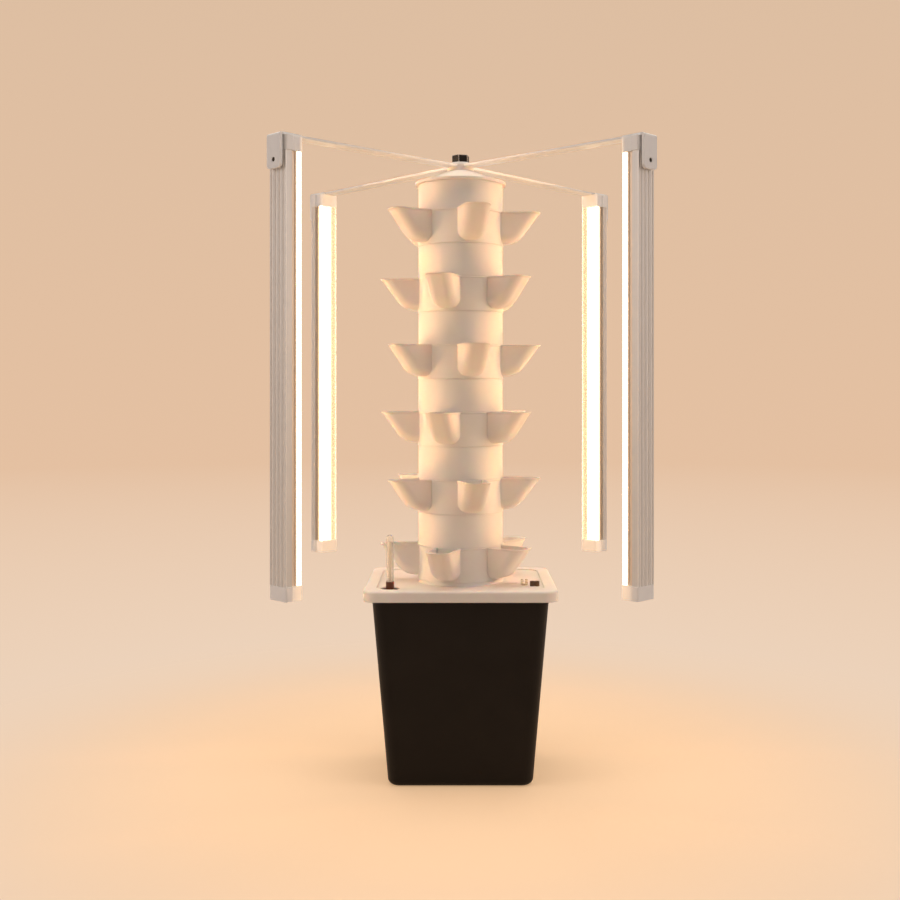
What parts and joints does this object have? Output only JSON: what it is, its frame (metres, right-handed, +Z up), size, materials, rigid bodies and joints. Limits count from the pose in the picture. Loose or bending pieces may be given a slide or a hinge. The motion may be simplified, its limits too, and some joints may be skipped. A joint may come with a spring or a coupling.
{
  "type": "hydroponic tower garden",
  "caption": "Vertical hydroponic planter: stacked rings of open planting cups on a lidded water tank, with upright light bars hung from arms at the top.",
  "frame": {"origin": "on the floor under the tower's axis, at the middle of the tank's underside", "axes": "+Z up along the tower; -Y towards the front, where the gauge and cable gland stand; +X to the right seen from the front"},
  "size_m": [0.6216, 0.6216, 1.118],
  "materials": {
    "tank_black": "satin black moulded plastic, fine grain",
    "white_plastic": "semi-gloss white moulded plastic",
    "arm_white": "white powder coat on aluminium strip",
    "aluminium": "satin anodised extrusion with fine draw lines",
    "diffuser": "frosted polycarbonate, lit from behind",
    "led_board": "white solder mask with yellow LED dies",
    "end_cap": "matt pale grey plastic",
    "knob_black": "semi-gloss black plastic",
    "washer_pale": "matt pale plastic",
    "steel": "plain turned steel",
    "screw_dark": "black oxide",
    "clear_plastic": "clear polished acrylic",
    "collar_brown": "dark red-brown plastic",
    "rod_white": "matt off-white plastic",
    "float_foam": "closed foam",
    "grommet_rubber": "matt black rubber",
    "pump_dark": "matt dark plastic",
    "impeller_tan": "matt ceramic-filled plastic",
    "pipe_white": "matt white pipe"
  },
  "bodies": {
    "tank": {"reservoir_tank": "tank_black", "pump_feet": "grommet_rubber", "pump_body": "pump_dark", "pump_cover": "pump_dark", "impeller_shaft": "steel", "riser_pipe": "pipe_white", "spray_head": "pipe_white"},
    "lid": {"reservoir_lid": "white_plastic", "gauge_guide": "tank_black", "cable_grommet": "grommet_rubber", "cable_clip": "clear_plastic"},
    "tier_1": {"planting_ring_1": "white_plastic", "spacer_tube_1": "white_plastic"},
    "tier_2": {"planting_ring_2": "white_plastic", "spacer_tube_2": "white_plastic"},
    "tier_3": {"planting_ring_3": "white_plastic", "spacer_tube_3": "white_plastic"},
    "tier_4": {"planting_ring_4": "white_plastic", "spacer_tube_4": "white_plastic"},
    "tier_5": {"planting_ring_5": "white_plastic", "spacer_tube_5": "white_plastic"},
    "tier_6": {"planting_ring_6": "white_plastic", "spacer_tube_6": "white_plastic", "top_cap": "white_plastic", "hub_stud": "steel"},
    "light_frame": {"light_hub": "white_plastic", "hub_washer": "washer_pale", "light_arm_1": "arm_white", "light_arm_2": "arm_white", "light_arm_3": "arm_white", "light_arm_4": "arm_white", "led_housing_1": "aluminium", "led_housing_2": "aluminium", "led_housing_3": "aluminium", "led_housing_4": "aluminium", "led_board_1": "led_board", "led_board_2": "led_board", "led_board_3": "led_board", "led_board_4": "led_board", "led_diffuser_1": "diffuser", "led_diffuser_2": "diffuser", "led_diffuser_3": "diffuser", "led_diffuser_4": "diffuser", "led_top_cap_1": "end_cap", "led_top_cap_2": "end_cap", "led_top_cap_3": "end_cap", "led_top_cap_4": "end_cap", "led_bottom_cap_1": "end_cap", "led_bottom_cap_2": "end_cap", "led_bottom_cap_3": "end_cap", "led_bottom_cap_4": "end_cap", "bracket_screws": "screw_dark"},
    "knob": {"hub_knob": "knob_black"},
    "gauge": {"gauge_tube": "clear_plastic", "gauge_collar": "collar_brown", "gauge_rod": "rod_white", "gauge_float": "float_foam"},
    "impeller": {"pump_impeller": "impeller_tan"}
  },
  "joints": [
    {"name": "lid_lift", "type": "slide", "parent": "tank", "child": "lid", "axis": [0, 0, 1], "range_m": [0, 0.34]},
    {"name": "tier_1_turn", "type": "hinge", "parent": "lid", "child": "tier_1", "pos_m": [0, 0, 0.351], "axis": [0, 0, 1], "continuous": true},
    {"name": "tier_2_turn", "type": "hinge", "parent": "tier_1", "child": "tier_2", "pos_m": [0, 0, 0.471], "axis": [0, 0, 1], "continuous": true},
    {"name": "tier_3_turn", "type": "hinge", "parent": "tier_2", "child": "tier_3", "pos_m": [0, 0, 0.591], "axis": [0, 0, 1], "continuous": true},
    {"name": "tier_4_turn", "type": "hinge", "parent": "tier_3", "child": "tier_4", "pos_m": [0, 0, 0.711], "axis": [0, 0, 1], "continuous": true},
    {"name": "tier_5_turn", "type": "hinge", "parent": "tier_4", "child": "tier_5", "pos_m": [0, 0, 0.831], "axis": [0, 0, 1], "continuous": true},
    {"name": "tier_6_turn", "type": "hinge", "parent": "tier_5", "child": "tier_6", "pos_m": [0, 0, 0.951], "axis": [0, 0, 1], "continuous": true},
    {"name": "light_frame_turn", "type": "hinge", "parent": "tier_6", "child": "light_frame", "pos_m": [0, 0, 1.088], "axis": [0, 0, 1], "continuous": true},
    {"name": "knob_turn", "type": "hinge", "parent": "tier_6", "child": "knob", "pos_m": [0, 0, 1.104], "axis": [0, 0, 1], "range_deg": [0, 2880]},
    {"name": "float_rise", "type": "slide", "parent": "lid", "child": "gauge", "axis": [0, 0, 1], "range_m": [0, 0.068]},
    {"name": "impeller_spin", "type": "hinge", "parent": "tank", "child": "impeller", "pos_m": [0, 0, 0.033], "axis": [0, 1, 0], "continuous": true}
  ]
}
